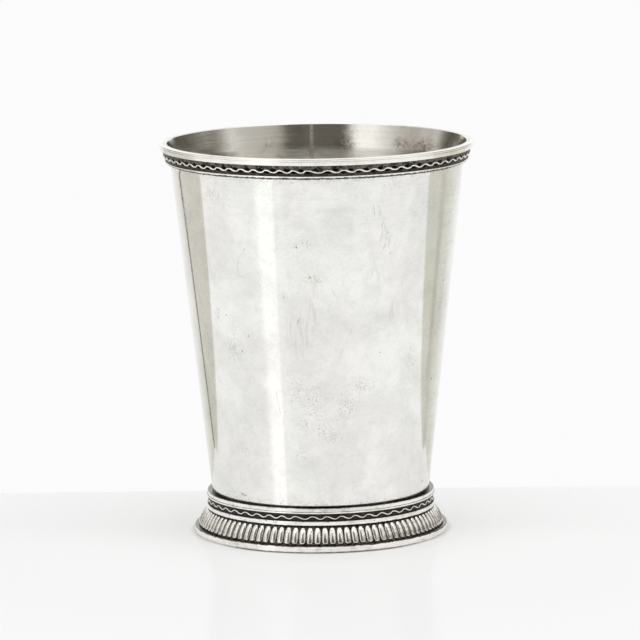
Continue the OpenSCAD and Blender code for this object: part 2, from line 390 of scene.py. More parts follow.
class Finish(Tree):
    """A metal whose pattern is laid out in the cup's own millimetres."""

    def __init__(self, name):
        self.material = bpy.data.materials.new(name)
        self.material.use_nodes = True
        super().__init__(self.material.node_tree)
        self.surface = self.nodes["Principled BSDF"]
        self.surface.inputs["Metallic"].default_value = 1.0
        metres = self.node("ShaderNodeTexCoord").outputs["Object"]
        self.place = self.stretched(metres, 1 / MM, 1 / MM, 1 / MM)
        self.x, self.y, self.z = self.node("ShaderNodeSeparateXYZ", {0: self.place}).outputs
        self.radius = self.far(self.x, self.y)
        self.angle = self.direction(self.x, self.y)
        self.at_rim = self.math("GREATER_THAN", self.z, LIP_Z / 2)

    def offset(self, angle, height):
        """Distances in millimetres from a place on the wall: round the cup and up."""
        per_degree = math.radians(wall_r(min(height, LIP_Z)))
        return self.mul(self.sub(self.angle, angle), per_degree), self.sub(self.z, height)

    def spot(self, angle, height, half_width, half_height, edge=0.4):
        """1 inside an oval on the wall, fading out at its border."""
        x, z = self.offset(angle, height)
        far = self.far(self.mul(x, 1 / half_width), self.mul(z, 1 / half_height))
        return self.ramp(far, edge, 1.0, 1.0, 0.0)

    def stroke(self, aside, width):
        """1 on a line and 0 at a width from it."""
        return self.ramp(self.math("ABSOLUTE", aside), width * 0.4, width, 1.0, 0.0)

    def bow(self, angle, height, radius, width, start, end):
        """A curved scratch: part of a circle on the wall, between two directions in degrees."""
        x, z = self.offset(angle, height)
        line = self.stroke(self.sub(self.far(x, z), radius), width)
        middle, half = math.radians((start + end) / 2), math.radians((end - start) / 2)
        cos, sin = math.cos(middle), math.sin(middle)
        ahead = self.add(self.mul(x, cos), self.mul(z, sin))
        aside = self.sub(self.mul(z, cos), self.mul(x, sin))
        off_middle = self.math("ABSOLUTE", self.math("ARCTAN2", aside, ahead))
        return self.mul(line, self.ramp(off_middle, half * 0.7, half, 1.0, 0.0))

    def scratch(self, start, end, width):
        """A straight scratch between two places on the wall."""
        x, z = self.offset(*start)
        across = math.radians(wall_r(start[1])) * (end[0] - start[0])
        up = end[1] - start[1]
        length = math.hypot(across, up)
        along = self.add(self.mul(x, across / length), self.mul(z, up / length))
        aside = self.sub(self.mul(x, up / length), self.mul(z, across / length))
        ends = self.ramp(self.away(along, length / 2), length * 0.4, length / 2, 1.0, 0.0)
        return self.mul(self.stroke(aside, width), ends)

    def oxide_and_shadow_colour(self):
        """Oxide held in a crevice: black where it lies thick, dark grey-brown where it is rubbed. It also
        colours the painted contact shadow along the flange's foot.
        """
        f = cup_finish()
        worn = self.ramp(self.noise(self.place, 1.4, 4.0, 0.7), 0.38, 0.62)
        return self.mix(worn, rgb(f.oxide), rgb(f.thin_oxide))

    def most(self, masks):
        """The strongest of several masks."""
        masks = list(masks)
        strongest = masks[0]
        for mask in masks[1:]:
            strongest = self.math("MAXIMUM", strongest, mask)
        return strongest

    def finish(self, colour, roughness, normal=None):
        """Joins the pattern to the surface and gives the material."""
        self.put(colour, self.surface.inputs["Base Color"])
        self.put(roughness, self.surface.inputs["Roughness"])
        if normal is not None:
            self.put(normal, self.surface.inputs["Normal"])
        return self.material

    def turn_marks(self, amount):
        """Smears reflections across marks that run round the cup."""
        self.surface.inputs["Anisotropic"].default_value = amount
        self.surface.inputs["Anisotropic Rotation"].default_value = 0.25
        tangent = self.node("ShaderNodeTangent", direction_type="RADIAL", axis="Z")
        self.put(tangent.outputs[0], self.surface.inputs["Tangent"])


def rgb(colour, share=1.0):
    """A colour property as a tuple, darkened or lightened to a share of itself."""
    return tuple(share * c for c in colour)


# Marks, placed by degrees from the front (+ to the right) and millimetres above the table
# Ovals in which specks gather: place, half width and half height in millimetres
SPECK_PATCHES = [
    (-41, 49.5, 4.2, 6.5), (-50, 58, 2.2, 4), (-59.5, 52.5, 1.4, 6), (-7.7, 31, 5, 4.5), (-3, 37, 5, 10),
    (-11, 40, 5, 7), (12, 36, 6, 7), (20, 41, 6, 4), (2, 30, 5, 5), (-40, 24, 2.5, 4),
    (-46, 88, 6, 3), (32, 90.5, 5, 1.5), (-6, 77, 5, 3), (-2, 68, 5, 3), (-9, 24, 4, 3), (68, 62, 3, 18),
    (-68, 82, 2, 10), (6, 28, 6, 3), (-48, 12.5, 6, 1.6), (46, 46, 3, 8)]
# Single dark dots: place and radius
DOTS = [
    (-14.7, 63.5, 0.2), (-32.4, 53.3, 0.22), (-36.5, 49.3, 0.26), (-44.1, 58.0, 0.22), (65.3, 39.8, 0.34),
    (66.4, 13.7, 0.42), (30.8, 73.7, 0.2), (-8.7, 76.0, 0.26), (-3.4, 68.6, 0.24), (28.2, 49.0, 0.2),
    (-45, 12.6, 0.3), (-43.2, 12.4, 0.24)]
# Straight scratches: both ends and width
SCRATCHES = [
    ((-8.0, 58.4), (-9.5, 56.7), 0.2), ((14.7, 55.8), (8.2, 47.1), 0.07),
    ((-47.4, 12.5), (-41.6, 12.3), 0.16), ((39.4, 82.9), (42.4, 83.5), 0.09),
    ((-20.5, 40.0), (-18.6, 33.5), 0.06), ((5.0, 66.0), (8.5, 62.5), 0.06),
    ((-30.6, 75.6), (-34.2, 72.9), 0.1), ((-34.2, 72.9), (-35.6, 70.4), 0.1),
    ((-35.6, 70.4), (-35.2, 68.4), 0.1), ((-35.2, 68.4), (-31.0, 67.8), 0.08)]
# Curved scratches: centre of the circle, its radius, the width, and the two directions they run between
BOWS = [
    (17.2, 77.9, 6.95, 0.15, -37, 36), (15.2, 79.2, 7.0, 0.1, -24, 24), (11.2, 83.2, 7.3, 0.09, 0, 24),
    (13.6, 83.6, 7.3, 0.09, -6, 20), (18.5, 76.5, 7.0, 0.08, -12, 26)]
# Ovals of smeared polish, and ovals where the body's colour is darker, with how much darker
SMEARS = [(-8.5, 54.5, 4.8, 9), (33, 59.3, 3.4, 4.5), (24, 68, 2.5, 6), (-2, 61, 3, 6)]
DARKENED_OVALS = [
    (-32, 64, 3.4, 4, 0.06), (8, 82, 4.5, 6.5, 0.035), (41, 62, 3, 8, 0.05), (-32, 40, 3.5, 13, 0.03),
    (12, 58, 7, 9, 0.04), (28, 60, 8, 9, 0.04), (45, 82, 3, 4, 0.05), (38, 24, 3, 8, 0.03),
    (60, 60, 1.6, 34, 0.12), (-58, 30, 3, 12, 0.02)]
# On the inside: ovals of stain, and the joint of the sheet
INSIDE_STAINS = [(131, 93.2, 8, 3.2), (143, 93.5, 4, 2.4), (113, 93, 5, 7), (104, 95, 4, 4), (168, 93, 4, 3)]
JOINT_ANGLE = -178.0


def body_silver():
    """Polished and handled: cloudy, specked, smeared and lightly scratched."""
    f = cup_finish()
    m = Finish("body_silver")
    cloud = m.noise(m.place, 0.075, 4.0, 0.6, 0.4)
    small_cloud = m.noise(m.place, 0.28, 4.0, 0.6, 0.3)
    tint = m.noise(m.stretched(m.place, 1.0, 1.0, 0.7), 0.05, 2.0, 0.5)
    ripple = m.noise(m.stretched(m.place, 1.0, 1.0, 0.12), 1.3, 2.0, 0.6)
    speck = m.noise(m.place, 2.3, 3.0, 0.65)
    mottle = m.noise(m.place, 0.85, 4.0, 0.7, 0.6)
    wiped = m.noise(m.stretched(m.place, 0.35, 0.35, 2.2), 0.35, 4.0, 0.65, 0.3)
    grain = m.noise(m.place, 1.6, 4.0, 0.75)
    colour = m.mix(m.ramp(tint, 0.35, 0.65), (0.925, 0.928, 0.895), (0.942, 0.925, 0.902))
    for pattern, start, end, darker in (
        (cloud, 0.38, 0.6, (0.92, 0.92, 0.92)),
        (grain, 0.42, 0.68, (0.93, 0.93, 0.92)),
        (small_cloud, 0.4, 0.7, (0.93, 0.93, 0.925)),
    ):
        colour = m.mix(m.ramp(pattern, start, end), colour, darker, "MULTIPLY")
    # Wiping has left flat streaks toward the top and toward the right
    at_top = m.ramp(m.z, RIM_OXIDE_Z - 18.86, RIM_OXIDE_Z - 4.86, 0.0, 0.9)
    streaked = m.most([at_top, m.mul(m.bump_at(m.angle, 72.0, 18.0), 2.2)])
    colour = m.mix(m.mul(streaked, m.ramp(wiped, 0.5, 0.68, 0.0, 0.13)), colour, (0.5, 0.48, 0.44))
    smeared = m.most(m.spot(*place, edge=0.2) for place in SMEARS)
    colour = m.mix(m.mul(smeared, m.ramp(ripple, 0.47, 0.58, 0.0, 0.3)), colour, (0.55, 0.54, 0.52))
    # Ovals where the body's colour is made a little darker
    for *place, amount in DARKENED_OVALS:
        dimmed = m.mul(m.spot(*place, edge=0.1), amount)
        colour = m.mix(dimmed, colour, (0.30, 0.28, 0.25))
    # Specks gather in patches, under the rim strips and just above the foot
    patches = [m.spot(*place, edge=0.1) for place in SPECK_PATCHES]
    patches.append(m.ramp(m.z, FOOT_OXIDE_Z + 2.94, FOOT_OXIDE_Z + 0.44, 0.0, 0.9))
    patches.append(m.ramp(m.z, RIM_OXIDE_Z - 2.06, RIM_OXIDE_Z - 0.36, 0.0, 0.9))
    patch = m.most(patches)
    stained = m.mul(patch, m.ramp(mottle, 0.5, 0.62, 0.0, 0.17))
    colour = m.mix(stained, colour, (0.42, 0.41, 0.37))
    crowd = m.add(patch, m.ramp(cloud, 0.5, 0.8, 0.0, 0.3))
    specks = m.ramp(m.add(speck, m.mul(crowd, 0.14)), 0.68, 0.74)
    dots = m.most(m.spot(angle, height, r, r, edge=0.5) for angle, height, r in DOTS)
    straight = m.mul(m.most(m.scratch(*place) for place in SCRATCHES), 0.7)
    strokes = m.math("MAXIMUM", m.most(m.bow(*place) for place in BOWS), straight)
    broken = m.ramp(m.noise(m.place, 0.9, 3.0, 0.7), 0.38, 0.6, 0.15, 1.0)
    strokes = m.mul(strokes, broken)
    colour = m.mix(m.mul(specks, 0.4), colour, rgb(f.tarnish))
    colour = m.mix(m.mul(strokes, 0.8), colour, rgb(f.tarnish))
    colour = m.mix(m.mul(dots, 0.7), colour, rgb(f.oxide, 2.0))
    # Oxide sits in the corners under the rim and over the foot; the lip itself is bright
    ragged_z = m.add(m.z, m.mul(m.sub(m.noise(m.place, 0.9, 4.0, 0.7), 0.5), 0.5))
    crevice = m.most([m.ramp(ragged_z, RIM_OXIDE_Z - 0.18, RIM_OXIDE_Z),
                      m.ramp(ragged_z, FOOT_OXIDE_Z + 0.24, FOOT_OXIDE_Z)])
    crevice = m.mul(crevice, m.ramp(m.z, LIP_Z - 0.8, LIP_Z - 0.5, 1.0, 0.0))
    colour = m.mix(crevice, colour, m.oxide_and_shadow_colour())
    roughness = m.add(m.add(f.body_roughness - 0.03, m.mul(cloud, 0.05)), m.mul(specks, 0.1))
    wave = m.noise(m.place, 0.03, 1.0, 0.5)
    fine = m.noise(m.stretched(m.place, 1.0, 1.0, 6.0), 0.8, 2.0, 0.6)
    height = m.add(m.mul(wave, 0.05), m.mul(fine, 0.0025))
    height = m.sub(height, m.add(m.mul(strokes, 0.008), m.mul(specks, 0.006)))
    return m.finish(colour, roughness, m.bump(height))


def inside_silver():
    """Turned: fine rings run round the inside, so lights smear up and down."""
    f = cup_finish()
    m = Finish("inside_silver")
    rings = m.noise(m.stretched(m.place, 0.05, 0.05, 5.0), 1.0, 4.0, 0.7)
    cloud = m.noise(m.place, 0.12, 3.0, 0.6)
    speck = m.noise(m.place, 1.9, 3.0, 0.6)
    colour = m.mix(m.ramp(rings, 0.3, 0.7), rgb(f.silver, 0.90), rgb(f.silver))
    colour = m.mix(m.mul(m.ramp(cloud, 0.45, 0.7), 0.3), colour, rgb(f.silver, 0.8))
    # Brown stains and specks lie mostly to the right of the back
    crowd = m.most([m.spot(*place, edge=0.1) for place in INSIDE_STAINS]
                   + [m.ramp(m.noise(m.place, 0.16, 3.0, 0.6), 0.55, 0.8, 0.0, 0.7)])
    specks = m.ramp(m.add(speck, m.mul(crowd, 0.13)), 0.66, 0.73)
    colour = m.mix(m.mul(specks, 0.6), colour, rgb(f.tarnish, 0.6))
    stain = m.mul(m.ramp(m.noise(m.place, 0.75, 4.0, 0.7, 0.5), 0.36, 0.62), m.mul(crowd, 0.85))
    colour = m.mix(stain, colour, (0.30, 0.25, 0.18))
    wipe = m.noise(m.stretched(m.place, 1.0, 1.0, 0.15), 1.6, 2.0, 0.6)
    colour = m.mix(m.ramp(wipe, 0.55, 0.75, 0.0, 0.16), colour, rgb(f.silver, 0.6))
    # The joint of the sheet shows at the back as a pale, warm upright line
    line_mask = m.ramp(m.away(m.angle, JOINT_ANGLE), 0.3, 1.15, 1.0, 0.0)
    line_mask = m.mul(line_mask, m.ramp(speck, 0.35, 0.55, 0.45, 1.0))
    line_mask = m.mul(line_mask, m.ramp(m.z, 50.0, 90.0))
    colour = m.mix(m.mul(line_mask, 0.5), colour, (0.86, 0.76, 0.69))
    # An even film of thin tarnish keeps the inside warmer than the outside
    colour = m.mix(1.0, colour, (1.0, 0.985, 0.95), "MULTIPLY")
    roughness = m.add(m.add(f.inside_roughness, m.mul(rings, 0.08)), m.mul(stain, 0.1))
    roughness = m.add(roughness, m.mul(line_mask, 0.25))
    m.turn_marks(0.7)
    return m.finish(colour, roughness, m.bump(m.mul(rings, 0.02)))


def strip_silver(name, crevices_and_shadow_lines, streak, stain, pits=0.0):
    """Bright strip with oxide held in its pits and crevices.

    Each crevice, and the painted contact shadow along the flange's foot, is given by its height, how far the
    dark colour creeps from it and the least radius at which it is seen.
    """
    f = cup_finish()
    m = Finish(name)
    streaks = m.noise(m.stretched(m.place, 0.12, 0.12, 4.0), 1.0, 3.0, 0.65)
    patch = m.noise(m.place, 0.35, 3.0, 0.6)
    streaked = m.mul(m.ramp(streaks, 0.4, 0.75), streak)
    colour = m.mix(streaked, rgb(f.strip_silver), rgb(f.strip_silver, 0.45))
    colour = m.mix(m.mul(m.ramp(patch, 0.5, 0.72), stain), colour, rgb(f.tarnish))
    pit = m.noise(m.stretched(m.place, 0.6, 0.6, 1.6), 1.5, 3.0, 0.6)
    colour = m.mix(m.mul(m.ramp(pit, 0.6, 0.68), pits), colour, rgb(f.thin_oxide))
    ragged = m.ramp(m.noise(m.place, 1.1, 4.0, 0.7), 0.3, 0.75, 0.3, 1.9)
    # Oxide in each crevice; on the flange, the entry at the table's height is painted contact shadow
    dark = []
    for height, creep, least_r in crevices_and_shadow_lines:
        near = m.math("DIVIDE", m.away(m.z, height), m.mul(ragged, creep))
        dark.append(m.mul(m.ramp(near, 0.6, 1.0, 1.0, 0.0), m.ramp(m.radius, least_r, least_r + 0.3)))
    colour = m.mix(m.most(dark), colour, m.oxide_and_shadow_colour())
    roughness = m.add(0.13, m.mul(patch, 0.1))
    return m.finish(colour, roughness, m.bump(m.mul(streaks, 0.012)))


def oxidised_silver():
    """The ground of the bands: nearly black oxide, brown where it thins, with a little rubbed metal."""
    f = cup_finish()
    m = Finish("oxidised_silver")
    patch = m.noise(m.place, 0.8, 4.0, 0.65)
    grain = m.noise(m.place, 7.0, 2.0, 0.5)
    # The rim's oxide has been rubbed thinner than the foot's, most of all over the wave
    rubbed = m.ramp(m.z, RIM_WAVE_Z - 0.72, RIM_WAVE_Z + 0.98, 0.35, 1.15, smooth=False)
    rubbed = m.math("MAXIMUM", m.mul(m.at_rim, rubbed), 0.22)
    colour = m.mix(m.mul(m.ramp(patch, 0.36, 0.62), rubbed), rgb(f.oxide), rgb(f.thin_oxide))
    fleck = m.mul(m.ramp(m.noise(m.place, 3.2, 3.0, 0.6), 0.6, 0.7), m.sub(rubbed, 0.15))
    colour = m.mix(fleck, colour, (0.46, 0.45, 0.39))
    colour = m.mix(m.mul(m.ramp(grain, 0.62, 0.8), 0.4), colour, rgb(f.silver, 0.3))
    return m.finish(colour, m.add(0.35, m.mul(patch, 0.2)), m.bump(m.mul(grain, 0.02)))


def wire_silver():
    """Bright rubbed wire."""
    f = cup_finish()
    m = Finish("wire_silver")
    patch = m.noise(m.place, 1.3, 3.0, 0.6)
    colour = m.mix(m.ramp(patch, 0.58, 0.78), (1.0, 0.985, 0.955), rgb(f.strip_silver, 0.55))
    return m.finish(colour, m.add(0.08, m.mul(patch, 0.08)))


def black_oxide():
    """The hollows that hug the rim wave: thick, slightly shiny oxide."""
    m = Finish("black_oxide")
    patch = m.noise(m.place, 1.5, 2.0, 0.5)
    colour = m.mix(patch, (0.003, 0.0026, 0.002), (0.012, 0.010, 0.008))
    return m.finish(colour, m.add(0.35, m.mul(patch, 0.2)))


def relief_silver():
    """The low relief on the bands: rubbed grey on top of dark oxide."""
    m = Finish("relief_silver")
    patch = m.noise(m.place, 2.0, 3.0, 0.6)
    light = m.mix(m.at_rim, (0.07, 0.065, 0.056), (0.36, 0.34, 0.3))
    colour = m.mix(m.ramp(patch, 0.35, 0.7), light, (0.05, 0.045, 0.04))
    return m.finish(colour, m.add(0.3, m.mul(patch, 0.2)))


def skirt_line(z):
    """Radius of the skirt's slope under the lobes."""
    return line_r(z, SKIRT_LOW_R, SKIRT_Z, SKIRT_TOP_R, SKIRT_TOP_Z)


def lobed_silver():
    """Bright on the lobes, black between them and along their ends."""
    f = cup_finish()
    m = Finish("lobed_silver")
    slope = m.add(skirt_line(0.0), m.mul(m.z, skirt_line(1.0) - skirt_line(0.0)))
    stand = m.sub(m.radius, slope)
    ragged = m.noise(m.place, 1.6, 3.0, 0.6)
    uneven = m.sub(ragged, 0.5)
    level = m.add(stand, m.mul(uneven, 0.14))
    bright = m.ramp(level, 0.03, 0.12)
    patch = m.noise(m.place, 0.9, 3.0, 0.6)
    pit = m.noise(m.place, 1.9, 3.0, 0.65)
    streak = m.noise(m.stretched(m.place, 0.6, 0.6, 3.5), 1.0, 3.0, 0.6)
    silver = m.mix(m.mul(m.ramp(patch, 0.45, 0.7), 0.4), rgb(f.strip_silver), rgb(f.tarnish))
    silver = m.mix(m.mul(m.ramp(pit, 0.56, 0.66), 0.6), silver, rgb(f.thin_oxide))
    silver = m.mix(m.mul(m.ramp(streak, 0.5, 0.8), 0.3), silver, rgb(f.strip_silver, 0.5))
    # Oxide creeps up from the flange
    clear = m.ramp(m.add(m.z, m.mul(uneven, 1.3)), SKIRT_Z + 0.17, SKIRT_Z + 0.72)
    bright = m.mul(bright, m.add(m.mul(clear, 0.75), 0.25))
    colour = m.mix(bright, m.oxide_and_shadow_colour(), silver)
    # The inside of the skirt, under the cup, is dull grey
    under = m.ramp(stand, -0.4, -0.7)
    dimmed = m.mix(patch, rgb(f.silver, 0.75), rgb(f.tarnish, 1.4))
    colour = m.mix(under, colour, dimmed)
    roughness = m.add(m.ramp(level, 0.02, 0.2, 0.45, 0.19), m.mul(under, -0.15))
    return m.finish(colour, roughness, m.bump(m.mul(ragged, 0.025)))


# Geometry Nodes


def new_tree(name, inputs):
    """A tree with named inputs that takes and gives geometry, its helper, its inputs and its output node."""
    tree = bpy.data.node_groups.new(name, "GeometryNodeTree")
    tree.interface.new_socket("Geometry", in_out="INPUT", socket_type="NodeSocketGeometry")
    tree.interface.new_socket("Geometry", in_out="OUTPUT", socket_type="NodeSocketGeometry")
    for label, kind in inputs:
        tree.interface.new_socket(label, in_out="INPUT", socket_type=kind)
    t = Tree(tree)
    return tree, t, t.node("NodeGroupInput").outputs, t.node("NodeGroupOutput")


def close_tree(t, geometry, material, out):
    """Ends a tree: instances are made real and everything gets its material."""
    real = t.node("GeometryNodeRealizeInstances", {0: geometry})
    last = t.node("GeometryNodeSetMaterial", {"Geometry": real.outputs[0], "Material": material})
    t.put(last.outputs[0], out.inputs[0])


def along_knots(t, share, knots):
    """Value at a share from 0 to 1, on straight lines between (share, value) knots."""
    curve = t.node("ShaderNodeFloatCurve", {"Value": share})
    points = curve.mapping.curves[0].points
    for x, y in knots[1:-1]:
        points.new(x, y)
    for point, knot in zip(points, knots):
        point.location = knot
        point.handle_type = "VECTOR"
    curve.mapping.update()
    return curve.outputs[0]


def ring_tree(name, knots):
    """Repeats the geometry that comes in round the Z axis."""
    tree, t, given, out = new_tree(name, [
        ("Count", "NodeSocketInt"), ("Start", "NodeSocketFloat"), ("Jitter", "NodeSocketFloat"),
        ("Material", "NodeSocketMaterial")])
    points = t.node("GeometryNodePoints", {"Count": given["Count"]})
    index = t.node("GeometryNodeInputIndex").outputs[0]
    share = t.math("DIVIDE", index, given["Count"])
    if knots:
        share = along_knots(t, share, knots)
    angle = t.add(t.mul(share, TURN), given["Start"])
    euler = t.node("ShaderNodeCombineXYZ", {2: angle}).outputs[0]
    rotation = t.node("FunctionNodeEulerToRotation", {0: euler}).outputs[0]
    shrink = t.mul(given["Jitter"], -1.0)
    random = t.node("FunctionNodeRandomValue", {2: shrink, 3: given["Jitter"], "Seed": 7}, data_type="FLOAT")
    tall = t.add(random.outputs[1], 1.0)
    size = t.node("ShaderNodeCombineXYZ", {0: tall, 1: tall, 2: 1.0}).outputs[0]
    placed = t.node("GeometryNodeInstanceOnPoints", {
        "Points": points.outputs[0], "Instance": given["Geometry"], "Rotation": rotation, "Scale": size})
    close_tree(t, placed.outputs[0], given["Material"], out)
    return tree


def wave_tree(name, knots):
    """A flattened wire that waves round a band: its waves lean a little, and it swells where it falls."""
    tree, t, given, out = new_tree(name, [
        ("Waves", "NodeSocketInt"), ("Start", "NodeSocketFloat"), ("Middle", "NodeSocketFloat"),
        ("Swing", "NodeSocketFloat"), ("Radius", "NodeSocketFloat"), ("Slope", "NodeSocketFloat"),
        ("Wire", "NodeSocketFloat"), ("Lean", "NodeSocketFloat"), ("Swell", "NodeSocketFloat"),
        ("Flat", "NodeSocketFloat"), ("Material", "NodeSocketMaterial")])
    count = t.mul(given["Waves"], 20.0)
    ring = t.node("GeometryNodeCurvePrimitiveCircle", {"Resolution": count, "Radius": 1.0})
    index = t.node("GeometryNodeInputIndex").outputs[0]
    share = t.math("DIVIDE", index, count)
    crest = t.sub(TURN / 4, given["Lean"])  # the lean brings the crest forward by itself
    phase = t.add(t.mul(t.mul(share, TURN), given["Waves"]), crest)
    sine = t.math("SINE", t.add(phase, t.mul(given["Lean"], t.math("SINE", phase))))
    # Flattened crests and troughs: s * sqrt(1 + a2) / sqrt(1 + a2 * s2)
    squared = t.mul(given["Flat"], given["Flat"])
    top = t.math("SQRT", t.add(squared, 1.0))
    under = t.math("SQRT", t.add(t.mul(squared, t.mul(sine, sine)), 1.0))
    lift = t.math("DIVIDE", t.mul(sine, top), under)
    rise = t.mul(t.mul(lift, given["Swing"]), 0.5)
    height = t.add(given["Middle"], rise)
    radius = t.add(given["Radius"], t.mul(rise, given["Slope"]))
    angle = t.add(t.mul(along_knots(t, share, knots), TURN), given["Start"])
    place = t.node("ShaderNodeCombineXYZ", {
        0: t.mul(radius, t.math("COSINE", angle)), 1: t.mul(radius, t.math("SINE", angle)), 2: height})
    bent = t.node("GeometryNodeSetPosition", {"Geometry": ring.outputs[0], "Position": place.outputs[0]})
    falling = t.math("MAXIMUM", t.mul(t.math("COSINE", phase), -1.0), 0.0)
    swell = t.add(1.0, t.mul(given["Swell"], falling))
    sized = t.node("GeometryNodeSetCurveRadius", {"Curve": bent.outputs[0], "Radius": swell})
    upright = t.node("GeometryNodeSetCurveNormal", {"Curve": sized.outputs[0]}, mode="Z_UP")
    square = t.node("GeometryNodeCurvePrimitiveQuadrilateral", {
        "Width": t.mul(given["Wire"], 1.6), "Height": t.mul(given["Wire"], 2.0)})
    section = t.node("GeometryNodeFilletCurve", {
        "Curve": square.outputs[0], "Radius": t.mul(given["Wire"], 0.6), "Count": 2}, mode="POLY")
    tube = t.node("GeometryNodeCurveToMesh", {
        "Curve": upright.outputs[0], "Profile Curve": section.outputs[0], "Scale": swell})
    smooth = t.node("GeometryNodeSetShadeSmooth", {0: tube.outputs[0]})
    close_tree(t, smooth.outputs[0], given["Material"], out)
    return tree


def grow(piece, tree, values):
    """Runs a tree on a piece and turns the result into a plain mesh with no modifier."""
    modifier = piece.modifiers.new(tree.name, "NODES")
    modifier.node_group = tree
    names = {item.name: item.identifier for item in tree.interface.items_tree if item.in_out == "INPUT"}
    for label, value in values.items():
        modifier[names[label]] = value
    bpy.context.view_layer.update()
    made = bpy.data.meshes.new_from_object(piece.evaluated_get(bpy.context.evaluated_depsgraph_get()))
    piece.modifiers.clear()
    made.name = piece.name
    piece.data = made
    if not len(made.polygons):
        raise RuntimeError(f"{piece.name} came out of its tree with no faces")


def seed_mesh(name, vertices, faces):
    """A small mesh for a tree to repeat or replace."""
    return add_object(name, np.array(vertices, float), faces)


# The trees count angles from +X, so the front of the cup is at a quarter turn back
FRONT = -TURN / 4
# Where each waved wire starts, at the wave that its joint makes longer
RIM_START = FRONT + math.radians(-3.5)
FOOT_START = FRONT + math.radians(-13.0)
# How the waves are spread from there: share of the count against share of the turn
RIM_KNOTS = [(0, 0), (1 / 66, 7.5 / 360), (11 / 66, 64.2 / 360), (55 / 66, 303.9 / 360), (1, 1)]
FOOT_KNOTS = [(0, 0), (1 / 48, 8.8 / 360), (5 / 48, 37.3 / 360), (45 / 48, 339.1 / 360), (1, 1)]
BAND_JITTER = 0.0004
LOBE_JITTER = 0.0008


def band_r(z):
    """Outer radius of the rim band."""
    return line_r(z, RIM_BAND_LOW_R, RIM_BAND_Z, RIM_BAND_TOP_R, RIM_MOULDING_Z)


# Operators


class JULEP_OT_body(bpy.types.Operator):
    """Turn the wall of the body, with its flare and its lip"""

    bl_idname = "julep.body"
    bl_label = "Body"

    def execute(self, context):
        s = cup_sizes()
        t = s.wall_t / MM
        neck_r, neck_z, lip_r = s.neck_r / MM, s.neck_z / MM, s.lip_r / MM
        neck_bend = 12.0
        corners = [
            (wall_r(BODY_Z) - t, BODY_Z, EASED), (wall_r(BODY_Z), BODY_Z, EASED),
            (neck_r, neck_z, neck_bend), (lip_r, LIP_Z, EASED),
            (lip_r - t, LIP_Z, 0.3), (neck_r - t, neck_z, neck_bend)]
        piece = turned("body_wall_silver", corners, [body_silver(), inside_silver()])
        for face in piece.data.polygons:
            middle_r = (wall_r(face.center.z / MM) - t / 2) * MM
            face.material_index = int(face.center.xy.length < middle_r)
        finish_piece(piece, "body_wall")
        return {"FINISHED"}


class JULEP_OT_bottom(bpy.types.Operator):
    """Turn the disc let into the bottom of the body"""

    bl_idname = "julep.bottom"
    bl_label = "Bottom"

    def execute(self, context):
        t = cup_sizes().wall_t / MM
        corners = [
            (0, BODY_Z, 0), (wall_r(BODY_Z) - t, BODY_Z, EASED), (wall_r(FLOOR_Z) - t, FLOOR_Z, EASED),
            (0, FLOOR_Z, 0)]
        piece = turned("bottom_disc_silver", corners, [inside_silver()])
        finish_piece(piece, "bottom_disc")
        return {"FINISHED"}


def strip(node, finish, corners):
    """Turns one drawn strip in its own finish."""
    piece = turned(node + "_silver", corners, [finish])
    finish_piece(piece, node)


def rim_strips():
    """The moulding round the lip, a small bead over a fuller round, and the bead under the rim band."""
    low, low_r = RIM_MOULDING_Z, band_r(RIM_MOULDING_Z)
    round_r, hollow_r = low_r + 0.57, low_r + 0.44
    finish = strip_silver("rim_moulding_finish", [(low, 0.06, 0.0)], 0.15, 0.12)
    strip("rim_moulding", finish, [
        (wall_r(low), low, SHARP), (round_r, low, 0.2), (round_r, LIP_Z - 0.62, 0.2),
        (hollow_r, LIP_Z - 0.52, 0.06), (LIP_BEAD_R, LIP_Z - 0.46, 0.16), (LIP_BEAD_R, LIP_Z, 0.2),
        (wall_r(LIP_Z), LIP_Z, SHARP)])

    low, high, bead_r = RIM_BEAD_Z, RIM_BAND_Z + 0.06, RIM_BAND_LOW_R
    finish = strip_silver("rim_bead_finish", [(low, 0.18, 0.0)], 0.1, 0.1)
    strip("rim_bead", finish, [
        (wall_r(low), low, SHARP), (bead_r, low, 0.12), (bead_r, high, 0.12),
        (wall_r(RIM_BAND_Z), high, SHARP)])


def foot_strips():
    """The beaded moulding over the foot band and the plain one under it."""
    low, bead_top = FOOT_UPPER_Z - 0.06, FOOT_UPPER_Z + 0.36
    crevices_and_shadow_lines = [(low, 0.03, 0.0), (bead_top + 0.03, 0.05, 0.0), (WAIST_Z, 0.07, 0.0)]
    finish = strip_silver("foot_upper_finish", crevices_and_shadow_lines, 0.45, 0.3, pits=0.35)
    strip("foot_upper_moulding", finish, [
        (wall_r(FOOT_UPPER_Z), low, SHARP), (FOOT_STRIP_R, low, 0.1), (FOOT_STRIP_R, bead_top, 0.1),
        (FOOT_STRIP_R - 0.14, bead_top + 0.05, SHARP), (FOOT_STRIP_R - 0.2, WAIST_Z, 0.14),
        (wall_r(WAIST_Z), WAIST_Z, SHARP)])

    low, high = BODY_Z - 0.08, FOOT_BAND_Z - 0.05
    finish = strip_silver("foot_lower_finish", [(low, 0.12, 0.0), (high, 0.03, 0.0)], 0.45, 0.45, pits=0.8)
    strip("foot_lower_moulding", finish, [
        (wall_r(low), low, SHARP), (FOOT_STRIP_R, low, 0.12), (FOOT_STRIP_R, high, 0.16),
        (wall_r(high), high, SHARP)])


